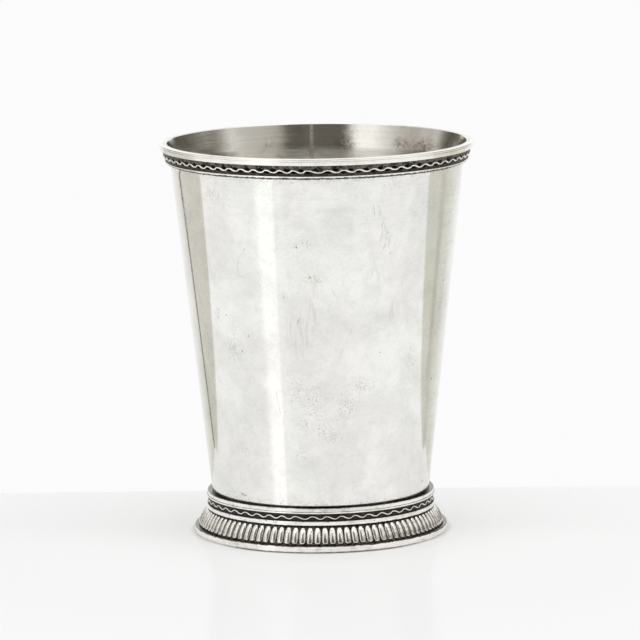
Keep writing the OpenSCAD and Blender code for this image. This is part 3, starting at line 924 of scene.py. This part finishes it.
def flange():
    """The flat ring that the cup rests on."""
    # Oxide where the skirt meets the flange, and painted contact shadow along the flange's outer foot at the
    # table
    crevices_and_shadow_lines = [(SKIRT_Z, 0.25, 0.0), (0.0, 0.13, FLANGE_R - 0.38)]
    finish = strip_silver("base_flange_finish", crevices_and_shadow_lines, 0.5, 0.3, pits=0.2)
    strip("base_flange", finish, [
        (FLANGE_BORE_R, 0, 0.15), (FLANGE_R, 0, 0.06), (FLANGE_TOP_R, SKIRT_Z, 0.22),
        (FLANGE_BORE_R, SKIRT_Z, EASED)])


class JULEP_OT_mouldings(bpy.types.Operator):
    """Turn the drawn strips: the rim moulding and bead, the foot mouldings and the base flange"""

    bl_idname = "julep.mouldings"
    bl_label = "Mouldings"

    def execute(self, context):
        rim_strips()
        foot_strips()
        flange()
        return {"FINISHED"}


def band_grounds():
    """The two dark bands that the waved wires lie on."""
    oxide = oxidised_silver()
    for node, low, low_r, high, high_r in (
        ("rim_band", RIM_BAND_Z, RIM_BAND_LOW_R, RIM_MOULDING_Z, RIM_BAND_TOP_R),
        ("foot_band", FOOT_BAND_Z, FOOT_BAND_R, FOOT_UPPER_Z, FOOT_BAND_R),
    ):
        corners = [(wall_r(low), low, SHARP), (low_r, low, SHARP), (high_r, high, SHARP),
                   (wall_r(high), high, SHARP)]
        finish_piece(turned(node + "_oxide", corners, [oxide]), node)


class JULEP_OT_bands(bpy.types.Operator):
    """Turn the two dark bands and raise their low relief: a boss under each crest and a rib over it"""

    bl_idname = "julep.bands"
    bl_label = "Bands"

    def execute(self, context):
        s = cup_sizes()
        band_grounds()
        relief, hollow = relief_silver(), black_oxide()
        half_wave = TURN / s.rim_waves / 2
        low, high = RIM_WAVE_Z - 0.26, RIM_WAVE_Z + 0.38
        under = band_boss("rim_bosses_under", band_r(low - 0.04), low, 1.6, 0.68, 0.13)
        over = band_boss("rim_bosses_over", band_r(high - 0.03), high, 1.5, 0.9, 0.1)
        ribs = band_rib("rim_ribs", RIM_WAVE_Z + 0.8, 1.2, 0.26, 0.08)
        at_foot = band_boss("foot_bosses", FOOT_BAND_R, FOOT_WAVE_Z - 0.3, 1.3, 0.5, 0.13)
        for piece, count, knots, start, material in (
            (under, s.rim_waves, RIM_KNOTS, RIM_START, hollow),
            (over, s.rim_waves, RIM_KNOTS, RIM_START + half_wave, hollow),
            (ribs, s.rim_waves, RIM_KNOTS, RIM_START, relief),
            (at_foot, s.foot_waves, FOOT_KNOTS, FOOT_START, relief),
        ):
            grow(piece, ring_tree(piece.name + "_ring", knots), {
                "Count": count, "Start": start, "Jitter": BAND_JITTER, "Material": material})
            finish_piece(piece)
        return {"FINISHED"}


def waved_wire(name, node, knots, values):
    """Bends one wire round its band. The triangle only gives the tree a mesh to start from."""
    piece = seed_mesh(name, [(0, 0, 0), (MM, 0, 0), (0, MM, 0)], [(0, 1, 2)])
    grow(piece, wave_tree(name + "_tree", knots), values)
    finish_piece(piece, node)


class JULEP_OT_waves(bpy.types.Operator):
    """Bend the waved wires round the rim band and the foot band"""

    bl_idname = "julep.waves"
    bl_label = "Waved wires"

    def execute(self, context):
        s = cup_sizes()
        wire = wire_silver()
        rim_slope = (RIM_BAND_TOP_R - RIM_BAND_LOW_R) / (RIM_MOULDING_Z - RIM_BAND_Z)
        waved_wire("rim_wave_silver", "rim_wave_wire", RIM_KNOTS, {
            "Waves": s.rim_waves, "Start": RIM_START, "Middle": RIM_WAVE_Z * MM, "Swing": s.rim_swing,
            "Radius": (band_r(RIM_WAVE_Z) + 0.06) * MM, "Slope": rim_slope, "Wire": 0.165 * MM,
            "Lean": math.radians(14), "Swell": 0.35, "Flat": 1.1, "Material": wire})
        waved_wire("foot_wave_silver", "foot_wave_wire", FOOT_KNOTS, {
            "Waves": s.foot_waves, "Start": FOOT_START, "Middle": FOOT_WAVE_Z * MM, "Swing": s.foot_swing,
            "Radius": (FOOT_BAND_R + 0.05) * MM, "Slope": 0.0, "Wire": 0.128 * MM,
            "Lean": math.radians(12), "Swell": 0.3, "Flat": 0.7, "Material": wire})
        return {"FINISHED"}


def dome_faces(rings, around):
    """Faces of a dome whose rings of points run from its edge inward to its tip, with a closed base."""
    faces = []
    for i in range(rings - 1):
        for k in range(around):
            m = (k + 1) % around
            faces.append((i * around + k, i * around + m, (i + 1) * around + m, (i + 1) * around + k))
    inner, tip = (rings - 1) * around, rings * around
    faces += [(inner + k, inner + (k + 1) % around, tip) for k in range(around)]
    faces.append(tuple(reversed(range(around))))
    return faces


def band_boss(name, radius, height, width, tall, stand):
    """A low oval mound on a band, at +X, with its edge sunk a little."""
    rings, around, sunk = 3, 12, 0.03
    vertices = []
    for i in range(rings):
        lean = i / rings * TURN / 4
        share = math.cos(lean)
        out = stand * math.sin(lean) - (sunk if i == 0 else 0.0)
        for k in range(around):
            a = TURN * k / around
            across, up = width / 2 * share * math.cos(a), tall / 2 * share * math.sin(a)
            vertices.append(((radius + out) * MM, across * MM, (height + up) * MM))
    vertices.append(((radius + stand) * MM, 0.0, height * MM))
    return seed_mesh(name, vertices, dome_faces(rings, around))


def band_rib(name, height, width, tall, thick):
    """A thin arched rib on the rim band, over a crest, at +X."""
    steps, around = 9, 5
    vertices, faces = [], []
    for i in range(steps):
        share = i / (steps - 1)
        a = math.pi * (0.12 + 0.76 * share)
        across, up = -width / 2 * math.cos(a), tall * (math.sin(a) - 1)
        half_thick = thick * math.sin(math.pi * (0.08 + 0.84 * share)) ** 0.5
        for k in range(around):
            b = TURN * k / around
            r = band_r(height + up) + 0.02 + half_thick * math.cos(b)
            z = height + up + half_thick * math.sin(b)
            vertices.append((r * MM, across * MM, z * MM))
    for i in range(steps - 1):
        for k in range(around):
            m = (k + 1) % around
            faces.append((i * around + k, (i + 1) * around + k, (i + 1) * around + m, i * around + m))
    faces.append(tuple(range(around)))
    faces.append(tuple(reversed(range((steps - 1) * around, steps * around))))
    return seed_mesh(name, vertices, faces)


def lobe_seed(name, count, stand):
    """One lobe at +X: a long dome on the slope, highest just below its middle and drawn in at the top."""
    low, high = SKIRT_Z + 0.06, SKIRT_TOP_Z - 0.32
    run_r, run_z = skirt_line(high) - skirt_line(low), high - low
    length = math.hypot(run_r, run_z)
    along = np.array([run_r, run_z]) / length
    out = np.array([along[1], -along[0]])
    crest = 0.45 * length
    half_turn = TURN / count / 2 * 0.92
    around, squareness, sunk = 18, 2 / 3.1, 0.05
    shares = (1.0, 0.93, 0.78, 0.52, 0.22)
    vertices = []

    def place(share, angle):
        across, up = math.cos(angle), math.sin(angle)
        across = math.copysign(abs(across) ** squareness, across)
        up = math.copysign(abs(up) ** squareness, up)
        s = crest + share * up * (length - crest if up > 0 else crest)
        width = share * across * (1.0 - 0.14 * max(up, 0.0) ** 2)
        lift = stand * math.sqrt(1 - share * share) - sunk * (share == 1.0)
        r, z = np.array([skirt_line(low), low]) + along * s + out * lift
        turn = half_turn * width
        vertices.append((r * math.cos(turn) * MM, r * math.sin(turn) * MM, z * MM))

    for share in shares:
        for k in range(around):
            place(share, TURN * k / around)
    place(0.0, 0.0)
    return seed_mesh(name, vertices, dome_faces(len(shares), around))


class JULEP_OT_skirt(bpy.types.Operator):
    """Turn the skirt's sheet and set its lobes round it"""

    bl_idname = "julep.skirt"
    bl_label = "Skirt"

    def execute(self, context):
        s = cup_sizes()
        low, high = SKIRT_Z, SKIRT_TOP_Z
        under = high - SKIRT_SHEET
        # The sheet measured level, where it slopes
        level_sheet = SKIRT_SHEET * math.hypot(1, (SKIRT_LOW_R - SKIRT_TOP_R) / (high - low))
        corners = [
            (SKIRT_LOW_R - level_sheet, low, EASED), (SKIRT_LOW_R, low, EASED), (SKIRT_TOP_R, high, EASED),
            (COLLAR_BORE_R, high, EASED), (COLLAR_BORE_R, under, 0.2),
            (skirt_line(under) - level_sheet, under, 0.4)]
        finish = lobed_silver()
        sheet = turned("fluted_skirt_sheet", corners, [finish])
        lobes = lobe_seed("fluted_skirt_lobes", s.lobes, s.lobe_stand / MM)
        grow(lobes, ring_tree("lobe_ring", None), {
            "Count": s.lobes, "Start": TURN / s.lobes / 2, "Jitter": LOBE_JITTER, "Material": finish})
        finish_piece(lobes)
        finish_piece(sheet, "fluted_skirt")
        return {"FINISHED"}


def look_transform(place, target, roll=0.0):
    """Where a camera or lamp stands so that it looks at a target."""
    forward = (target - place).normalized()
    right = forward.cross(Vector((0, 0, 1))).normalized()
    up = right.cross(forward)
    x = math.cos(roll) * right + math.sin(roll) * up
    y = -math.sin(roll) * right + math.cos(roll) * up
    rotation = Matrix((x, y, -forward)).transposed()
    return Matrix.Translation(place) @ rotation.to_4x4()


def soft_lamp(name, azimuth, elevation, width, height, radiance):
    """A soft light that faces the cup from 1.6 m: azimuth in degrees from the front, + to the right."""
    data = bpy.data.lights.new(name, "AREA")
    data.shape = "RECTANGLE"
    data.size, data.size_y = width, height
    data.energy = radiance * math.pi * width * height
    lamp = bpy.data.objects.new(name, data)
    bpy.context.scene.collection.objects.link(lamp)
    a, e = math.radians(azimuth), math.radians(elevation)
    place = Vector((math.sin(a) * math.cos(e), -math.cos(a) * math.cos(e), math.sin(e))) * 1.6
    lamp.matrix_world = look_transform(place, Vector((0, 0, 50)) * MM)
    lamp.visible_camera = False
    lamp.visible_glossy = False


BACKDROP = (0.97, 0.97, 0.97)  # what the camera sees behind the cup


def table_top(t, x, y, glossy_ray):
    """The pale, slightly glossy table, with the light that only the metal sees on it."""
    st = bpy.context.scene.julep_studio
    # Painted shade: far to the right, out of the picture, the table is a little darker, so that the metal
    # reflects it darker
    colour = t.mix(t.ramp(x, 0.17, 0.36), rgb(st.table), rgb(st.table, 0.92))
    matt = t.node("ShaderNodeBsdfDiffuse", {"Color": colour}).outputs[0]
    gloss = t.node("ShaderNodeBsdfGlossy", {"Color": (1, 1, 1, 1), "Roughness": 0.12}).outputs[0]
    surface = t.node("ShaderNodeMixShader", {0: 0.05, 1: matt, 2: gloss}).outputs[0]
    # A tall soft box lies across the table as a bright wedge, which only the metal sees
    wedge = t.direction(t.add(x, 1.7 * MM), t.add(y, 16.3 * MM))
    shine = t.mul(t.ramp(wedge, -54.0, -46.5), t.ramp(wedge, -35.2, -36.8))
    # The cup throws some light back on the table before it; the far table is a little lighter
    radius = t.far(x, y)
    thrown = t.mul(t.ramp(radius, 105 * MM, 34 * MM), t.ramp(y, 10 * MM, -25 * MM, 0.0, 0.05))
    lifted = t.add(t.mul(t.ramp(y, -0.35, -0.55), 0.045), 0.045)
    shine = t.add(t.mul(t.add(t.mul(shine, 0.165), lifted), glossy_ray), thrown)
    lit = t.node("ShaderNodeEmission", {"Color": (1, 1, 1, 1), "Strength": shine}).outputs[0]
    surface = t.node("ShaderNodeAddShader", {0: surface, 1: lit}).outputs[0]
    # Painted contact shadow: a thin dark ring on the table where the flange meets it, weaker to each side
    line_mask = t.mul(t.ramp(radius, 31.9 * MM, 33.4 * MM, 0.75, 0.0), t.ramp(radius, 29 * MM, 31 * MM))
    line_mask = t.mul(line_mask, t.ramp(t.math("ABSOLUTE", x), 16 * MM, 26 * MM, 1.0, 0.25))
    black = t.node("ShaderNodeBsdfDiffuse", {"Color": (0.02, 0.02, 0.018, 1)}).outputs[0]
    return t.node("ShaderNodeMixShader", {0: line_mask, 1: surface, 2: black}).outputs[0]


def past_edge(t, x, y, glossy_ray):
    """1 past the table's back edge. To each side, out of the picture, the metal sees it a little nearer."""
    left_edge = t.add(27 * MM, t.mul(x, -0.143))
    right_edge = t.add(36.5 * MM, t.mul(x, 0.012))
    side_edge = t.math("MINIMUM", t.math("MAXIMUM", left_edge, right_edge), 0.2)
    aside = t.mul(t.ramp(t.math("ABSOLUTE", x), 85 * MM, 86 * MM), glossy_ray)
    edge = t.add(t.mul(side_edge, aside), t.mul(t.sub(1.0, aside), bpy.context.scene.julep_studio.edge_y))
    return t.ramp(t.sub(y, edge), -0.3 * MM, 0.3 * MM)


def backdrop_tone(t, x, y, camera_ray):
    """Pale behind the cup and, as painted shade that only the metal sees, darker to each side, with a thin
    dark line through its left part.
    """
    azimuth = t.direction(x, y)
    # Painted shade: the backdrop darker to each side, with a dark band at 118 degrees and a little darker
    # outside the line on the left
    tone = t.mix(t.ramp(t.math("ABSOLUTE", azimuth), 118.0, 162.0), (0.69, 0.68, 0.62), (0.93, 0.93, 0.92))
    dark_band = t.mul(t.bump_at(azimuth, 118.0, 7.0), 0.16)
    tone = t.mix(dark_band, tone, (0.2, 0.19, 0.17))
    # The painted dark line curves away on the left, in millimetres out and back
    out_mm, back_mm = t.mul(x, -1 / MM), t.mul(y, 1 / MM)
    dark_line_path = t.add(32.7, t.sub(t.mul(back_mm, 1.039), t.mul(t.mul(back_mm, back_mm), 0.00064)))
    off_dark_line = t.math("DIVIDE", t.away(out_mm, dark_line_path), t.far(out_mm, back_mm))
    left = t.math("LESS_THAN", x, 0.0)
    outside = t.mul(left, t.ramp(t.sub(dark_line_path, out_mm), -1.0, 1.0, 1.0, 0.0))
    tone = t.mix(t.mul(outside, 0.22), tone, (0.55, 0.545, 0.5))
    line = t.mul(left, t.ramp(off_dark_line, 0.016, 0.028, 1.0, 0.0))
    tone = t.mix(line, tone, (0.04, 0.035, 0.03))
    return t.mix(camera_ray, tone, BACKDROP)


def seen_directly(t, rays):
    """1 on rays from the camera, also through clear matter."""
    return t.math("MAXIMUM", rays["Is Camera Ray"], rays["Is Transmission Ray"])


def table_material():
    """Pale table as far as its back edge, and the lit backdrop past it."""
    material = bpy.data.materials.new("table")
    material.use_nodes = True
    t = Tree(material.node_tree)
    t.nodes.remove(t.nodes["Principled BSDF"])
    place = t.node("ShaderNodeTexCoord").outputs["Object"]
    x, y, _ = t.node("ShaderNodeSeparateXYZ", {0: place}).outputs
    rays = t.node("ShaderNodeLightPath").outputs
    surface = table_top(t, x, y, rays["Is Glossy Ray"])
    tone = backdrop_tone(t, x, y, seen_directly(t, rays))
    glow = t.node("ShaderNodeEmission", {"Color": tone, "Strength": 1.0}).outputs[0]
    past = past_edge(t, x, y, rays["Is Glossy Ray"])
    mixed = t.node("ShaderNodeMixShader", {0: past, 1: surface, 2: glow}).outputs[0]
    # From below the table is clear, so that the underside of the cup can be seen
    clear = t.node("ShaderNodeBsdfTransparent").outputs[0]
    from_below = t.node("ShaderNodeNewGeometry").outputs["Backfacing"]
    mixed = t.node("ShaderNodeMixShader", {0: from_below, 1: mixed, 2: clear}).outputs[0]
    t.put(mixed, t.nodes["Material Output"].inputs["Surface"])
    return material


# Light that the metal sees from each side: degrees from the front, + to the right, and its strength
LOW_LIGHT = [
    (-180, 1.0), (-156, 1.0), (-146, 0.12), (-127, 0.12), (-120, 0.24), (-112, 0.60), (-104, 0.44),
    (-97, 0.52), (-90, 0.45), (-82, 0.47), (-68, 0.60), (-58, 0.77), (-50, 1.0), (-36, 1.05),
    (-29.4, 0.95), (-27.4, 0.11), (3.8, 0.11), (4.6, 0.42), (5.4, 0.11), (27.8, 0.10), (29.8, 0.42),
    (35, 0.42), (42, 0.47), (58, 0.53), (66, 0.57), (74, 0.76), (80, 0.56), (85, 0.34), (92, 0.20),
    (105, 0.11), (113, 0.14), (120, 0.15), (127, 0.12), (146, 0.08), (156, 1.0), (180, 1.0)]
HIGH_LIGHT = [
    (-180, 1.0), (-150, 0.8), (-105, 0.7), (-82, 0.9), (-50, 1.1), (-36, 1.2), (-28, 0.12), (22, 0.12),
    (34, 0.8), (60, 1.0), (85, 1.1), (105, 0.75), (150, 0.8), (180, 1.0)]


def light_from(t, azimuth, steps):
    """Strength of the light at an azimuth, on straight lines between steps."""
    share = t.ramp(azimuth, -180.0, 180.0, 0.0, 1.0, smooth=False)
    top = max(value for _, value in steps)
    knots = [((degrees + 180) / 360, value / top) for degrees, value in steps]
    return t.mul(along_knots(t, share, knots), top)


def studio_world():
    """White to the camera; to the metal, a dark room with soft boxes, a backdrop and a bright ceiling."""
    st = bpy.context.scene.julep_studio
    world = bpy.data.worlds.new("studio")
    world.use_nodes = True
    t = Tree(world.node_tree)
    place = t.node("ShaderNodeTexCoord").outputs["Generated"]
    x, y, z = t.node("ShaderNodeSeparateXYZ", {0: place}).outputs
    azimuth = t.direction(x, y)
    height = t.math("DEGREES", t.math("ARCSINE", z))
    low = light_from(t, azimuth, LOW_LIGHT)
    high = light_from(t, azimuth, HIGH_LIGHT)
    aside = t.ramp(t.math("ABSOLUTE", azimuth), 80.0, 105.0)  # the side walls are lit from lower down
    raised = t.ramp(t.add(height, t.mul(aside, 16.0)), 30.0, 40.0)
    strength = t.add(t.mul(low, t.sub(1.0, raised)), t.mul(high, raised))
    ceiling = t.ramp(height, 52.0, 58.0)
    strength = t.add(t.mul(strength, t.sub(1.0, ceiling)), t.mul(ceiling, 1.25))
    warm = t.mix(t.ramp(strength, 0.1, 0.8), (1.0, 0.92, 0.80), (1.0, 1.0, 0.985))
    rays = t.node("ShaderNodeLightPath").outputs
    # Metal seen in metal is darker: less light reaches the bottom of the cup and the grooves
    from_back = t.ramp(t.math("ABSOLUTE", azimuth), 100.0, 145.0)
    again = t.ramp(rays["Glossy Depth"], 1.2, 1.8)
    strength = t.mul(strength, t.sub(1.0, t.mul(again, t.add(0.1, t.mul(from_back, 0.35)))))
    glossy = t.node("ShaderNodeBackground", {"Color": warm, "Strength": strength}).outputs[0]
    even = t.node("ShaderNodeBackground", {"Color": (1, 1, 1, 1), "Strength": st.fill}).outputs[0]
    white = t.node("ShaderNodeBackground", {"Color": (*BACKDROP, 1), "Strength": 1.0}).outputs[0]
    # Light on its way to the matt table is even, also by way of the metal
    polished = t.mul(rays["Is Glossy Ray"], t.math("LESS_THAN", rays["Diffuse Depth"], 0.5))
    mixed = t.node("ShaderNodeMixShader", {0: polished, 1: even, 2: glossy}).outputs[0]
    mixed = t.node("ShaderNodeMixShader", {0: seen_directly(t, rays), 1: mixed, 2: white}).outputs[0]
    t.put(mixed, t.nodes["World Output"].inputs["Surface"])
    return world


# Where the photo was taken from, in millimetres: place, aim and roll, fitted to the cup's ellipses
CAMERA_PLACE = (0, -1189.18, 238.21)
CAMERA_AIM = (0.325, 0, 52.85)
CAMERA_ROLL = -0.01204


class JULEP_OT_stage(bpy.types.Operator):
    """Set the table, the light and the camera"""

    bl_idname = "julep.stage"
    bl_label = "Stage"

    def execute(self, context):
        half = 2.5
        corners = np.array([(-half, -half, 0), (half, -half, 0), (half, half, 0), (-half, half, 0)])
        add_object("table", corners, [(0, 1, 2, 3)], materials=[table_material()])
        context.scene.world = studio_world()
        soft_lamp("overhead", 0, 80, 1.2, 1.2, 0.05)
        soft_lamp("right_box", 75, 35, 1.0, 1.2, 0.3)
        camera = bpy.data.cameras.new("camera")
        camera.lens, camera.sensor_width = context.scene.julep_studio.lens, 36.0
        holder = bpy.data.objects.new("camera", camera)
        context.scene.collection.objects.link(holder)
        holder.matrix_world = look_transform(Vector(CAMERA_PLACE) * MM, Vector(CAMERA_AIM) * MM, CAMERA_ROLL)
        context.scene.camera = holder
        context.scene.view_settings.view_transform = "Standard"
        return {"FINISHED"}


class JULEP_PT_sidebar(bpy.types.Panel):
    """Sizes, finishes and steps of the julep cup"""

    bl_label = "Julep Cup"
    bl_idname = "JULEP_PT_sidebar"
    bl_space_type = "VIEW_3D"
    bl_region_type = "UI"
    bl_category = "Julep Cup"

    def draw(self, context):
        for group in (context.scene.julep_sizes, context.scene.julep_finish, context.scene.julep_studio):
            box = self.layout.box()
            for name in group.__annotations__:
                box.prop(group, name)
        for step in STEPS:
            self.layout.operator(step.bl_idname)


STEPS = (JULEP_OT_body, JULEP_OT_bottom, JULEP_OT_mouldings, JULEP_OT_bands, JULEP_OT_waves, JULEP_OT_skirt,
         JULEP_OT_stage)
CLASSES = (CupSizes, CupFinish, StudioSettings, *STEPS, JULEP_PT_sidebar)


def register():
    for kind in CLASSES:
        bpy.utils.register_class(kind)
    bpy.types.Scene.julep_sizes = bpy.props.PointerProperty(type=CupSizes)
    bpy.types.Scene.julep_finish = bpy.props.PointerProperty(type=CupFinish)
    bpy.types.Scene.julep_studio = bpy.props.PointerProperty(type=StudioSettings)


def unregister():
    for name in ("julep_sizes", "julep_finish", "julep_studio"):
        delattr(bpy.types.Scene, name)
    for kind in reversed(CLASSES):
        bpy.utils.unregister_class(kind)


def main():
    register()
    bpy.ops.julep.body()
    bpy.ops.julep.bottom()
    bpy.ops.julep.mouldings()
    bpy.ops.julep.bands()
    bpy.ops.julep.waves()
    bpy.ops.julep.skirt()
    bpy.ops.julep.stage()


if __name__ == "__main__":
    main()
